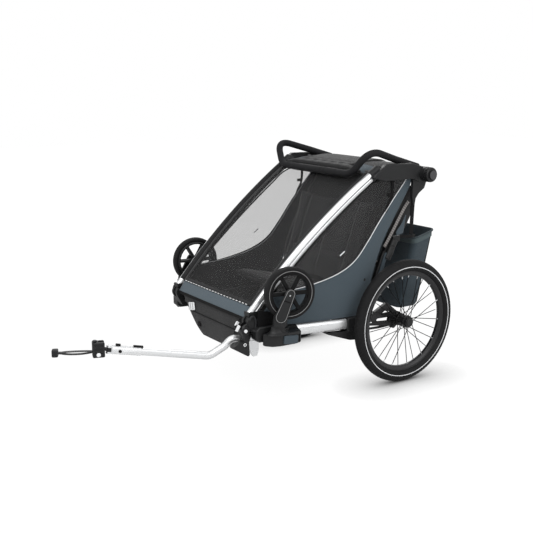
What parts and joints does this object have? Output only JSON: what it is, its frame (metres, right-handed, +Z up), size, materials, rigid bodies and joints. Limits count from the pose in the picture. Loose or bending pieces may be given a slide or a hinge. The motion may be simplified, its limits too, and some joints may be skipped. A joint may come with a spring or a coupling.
{
  "type": "double bike trailer",
  "caption": "Folding bicycle trailer for two seated children, with a bowed cabin frame, rear cargo bag, stowed stroller wheels and a tow arm with a jointed coupler",
  "frame": {"origin": "centre of the bounding box's footprint, on the ground", "axes": "+X towards the trailer's left, +Y towards its rear, +Z up; the tow arm points to -Y"},
  "size_m": [0.805, 1.6472, 0.9612],
  "materials": {
    "silver_tube": "satin anodised",
    "black_plastic": "fine matt texture",
    "black_casting": "black powder coat",
    "black_rim": "black anodised",
    "tyre_rubber": "matt tread",
    "grip_foam": "soft foam",
    "slate_fabric": "woven polyester",
    "black_fabric": "woven polyester",
    "tinted_window": "tinted film and mesh",
    "slate_plastic": "fine matt texture"
  },
  "bodies": {
    "frame": {"rail_left": "silver_tube", "rail_right": "silver_tube", "front_knuckle_left": "black_plastic", "front_knuckle_right": "black_plastic", "front_cross_tube": "black_plastic", "rear_beam": "black_casting", "rear_bracket_left": "black_plastic", "rear_bracket_right": "black_plastic", "wheel_bracket_left": "black_plastic", "wheel_bracket_right": "black_plastic", "footwell": "black_fabric", "front_panel": "slate_fabric", "side_panel_left": "slate_fabric", "side_panel_right": "slate_fabric", "side_window_left": "tinted_window", "side_window_right": "tinted_window", "seat_cushion": "black_fabric", "seat_back": "black_fabric", "rear_wall": "black_fabric", "cargo_bag": "slate_fabric", "tow_arm": "silver_tube"},
    "upper_frame": {"upper_tube_left": "silver_tube", "upper_tube_right": "silver_tube", "tube_foot_left": "black_plastic", "tube_foot_right": "black_plastic", "hub_plate_left": "black_plastic", "hub_plate_right": "black_plastic", "roof_crossbar": "black_plastic", "roof": "slate_fabric", "sunshade": "black_fabric", "front_cover": "tinted_window"},
    "strut_frame": {"strut_left": "black_plastic", "strut_right": "black_plastic", "strut_cross_tube": "black_plastic"},
    "fold_lever_left": {"fold_lever_left": "slate_plastic"},
    "fold_lever_right": {"fold_lever_right": "slate_plastic"},
    "handlebar": {"handlebar": "grip_foam"},
    "hub_button_left": {"hub_button_left": "slate_plastic"},
    "hub_button_right": {"hub_button_right": "slate_plastic"},
    "coupler_neck": {"coupler_neck": "black_plastic"},
    "hitch": {"hitch_block": "black_plastic", "safety_strap": "black_fabric"},
    "hitch_pin": {"hitch_pin": "black_casting"},
    "brake_pedal": {"brake_pedal": "slate_plastic"},
    "swing_left": {"swing_arm_left": "black_casting"},
    "wheel_left": {"tyre_left": "tyre_rubber", "spoked_wheel_left": "black_rim"},
    "wheel_button_left": {"wheel_button_left": "black_plastic"},
    "fork_left": {"stroller_fork_left": "black_plastic"},
    "stroller_wheel_left": {"stroller_wheel_left": "black_plastic", "stroller_tyre_left": "tyre_rubber"},
    "bracket_button_left": {"bracket_button_left": "slate_plastic"},
    "swing_right": {"swing_arm_right": "black_casting"},
    "wheel_right": {"tyre_right": "tyre_rubber", "spoked_wheel_right": "black_rim"},
    "wheel_button_right": {"wheel_button_right": "black_plastic"},
    "fork_right": {"stroller_fork_right": "black_plastic"},
    "stroller_wheel_right": {"stroller_wheel_right": "black_plastic", "stroller_tyre_right": "tyre_rubber"},
    "bracket_button_right": {"bracket_button_right": "slate_plastic"}
  },
  "joints": [
    {"name": "frame_fold", "type": "hinge", "parent": "frame", "child": "upper_frame", "pos_m": [0, -0.1449, 0.344], "axis": [-1, 0, 0], "range_deg": [0, 21], "deforming": ["side_panel_left", "side_panel_right", "side_window_left", "side_window_right", "seat_back", "seat_cushion", "rear_wall", "cargo_bag"]},
    {"name": "strut_fold", "type": "hinge", "parent": "upper_frame", "child": "strut_frame", "pos_m": [0, 0.6331, 0.828], "axis": [-1, 0, 0], "range_deg": [0, 42]},
    {"name": "handlebar_turn", "type": "hinge", "parent": "upper_frame", "child": "handlebar", "pos_m": [0, 0.6761, 0.851], "axis": [-1, 0, 0], "range_deg": [0, 150]},
    {"name": "hitch_pin_lift", "type": "slide", "parent": "hitch", "child": "hitch_pin", "axis": [0, 0, 1], "range_m": [0, 0.04]},
    {"name": "coupler_yaw", "type": "hinge", "parent": "frame", "child": "coupler_neck", "pos_m": [0.10038, -0.63568, 0.27373], "axis": [0.048, 0.1428, 0.9886], "range_deg": [-45, 45]},
    {"name": "coupler_pitch", "type": "hinge", "parent": "coupler_neck", "child": "hitch", "pos_m": [0.0925, -0.6591, 0.2775], "axis": [-0.9478, 0.3187, 0], "range_deg": [-15, 15]},
    {"name": "brake_pedal_press", "type": "hinge", "parent": "frame", "child": "brake_pedal", "pos_m": [0.052, 0.3661, 0.242], "axis": [-1, 0, 0], "range_deg": [0, 20]},
    {"name": "suspension_left", "type": "hinge", "parent": "frame", "child": "swing_left", "pos_m": [0.306, 0.4061, 0.268], "axis": [1, 0, 0], "range_deg": [-8, 12], "stiffness_Nm_per_rad": 400, "springref_deg": -2.86},
    {"name": "wheel_spin_left", "type": "hinge", "parent": "swing_left", "child": "wheel_left", "pos_m": [0.365, 0.5581, 0.2565], "axis": [1, 0, 0], "continuous": true},
    {"name": "wheel_button_press_left", "type": "slide", "parent": "wheel_left", "child": "wheel_button_left", "axis": [-1, 0, 0], "range_m": [0, 0.004], "stiffness_N_per_m": 400},
    {"name": "hub_button_press_left", "type": "slide", "parent": "upper_frame", "child": "hub_button_left", "axis": [-1, 0, 0], "range_m": [0, 0.005], "stiffness_N_per_m": 400},
    {"name": "fold_lever_pull_left", "type": "hinge", "parent": "strut_frame", "child": "fold_lever_left", "pos_m": [0.287, 0.5149, 0.5256], "axis": [1, 0, 0], "range_deg": [0, 25], "stiffness_Nm_per_rad": 1},
    {"name": "stroller_wheel_lift_left", "type": "slide", "parent": "frame", "child": "fork_left", "axis": [0, 0, 1], "range_m": [0, 0.05]},
    {"name": "bracket_button_press_left", "type": "slide", "parent": "frame", "child": "bracket_button_left", "axis": [-1, 0, 0], "range_m": [0, 0.003], "stiffness_N_per_m": 400},
    {"name": "suspension_right", "type": "hinge", "parent": "frame", "child": "swing_right", "pos_m": [-0.306, 0.4061, 0.268], "axis": [1, 0, 0], "range_deg": [-8, 12], "stiffness_Nm_per_rad": 400, "springref_deg": -2.86},
    {"name": "wheel_spin_right", "type": "hinge", "parent": "swing_right", "child": "wheel_right", "pos_m": [-0.365, 0.5581, 0.2565], "axis": [1, 0, 0], "continuous": true},
    {"name": "wheel_button_press_right", "type": "slide", "parent": "wheel_right", "child": "wheel_button_right", "axis": [1, 0, 0], "range_m": [0, 0.004], "stiffness_N_per_m": 400},
    {"name": "hub_button_press_right", "type": "slide", "parent": "upper_frame", "child": "hub_button_right", "axis": [1, 0, 0], "range_m": [0, 0.005], "stiffness_N_per_m": 400},
    {"name": "fold_lever_pull_right", "type": "hinge", "parent": "strut_frame", "child": "fold_lever_right", "pos_m": [-0.287, 0.5149, 0.5256], "axis": [1, 0, 0], "range_deg": [0, 25], "stiffness_Nm_per_rad": 1},
    {"name": "stroller_wheel_lift_right", "type": "slide", "parent": "frame", "child": "fork_right", "axis": [0, 0, 1], "range_m": [0, 0.05]},
    {"name": "bracket_button_press_right", "type": "slide", "parent": "frame", "child": "bracket_button_right", "axis": [1, 0, 0], "range_m": [0, 0.003], "stiffness_N_per_m": 400},
    {"name": "stroller_spin_left", "type": "hinge", "parent": "fork_left", "child": "stroller_wheel_left", "pos_m": [0.36504, -0.0215, 0.454], "axis": [0.9781, -0.2079, 0], "continuous": true},
    {"name": "stroller_spin_right", "type": "hinge", "parent": "fork_right", "child": "stroller_wheel_right", "pos_m": [-0.35183, -0.02136, 0.454], "axis": [0.9925, -0.1219, 0], "continuous": true}
  ],
  "couplings": [
    {"joint": "strut_fold", "follows": "frame_fold", "ratio": 2}
  ]
}
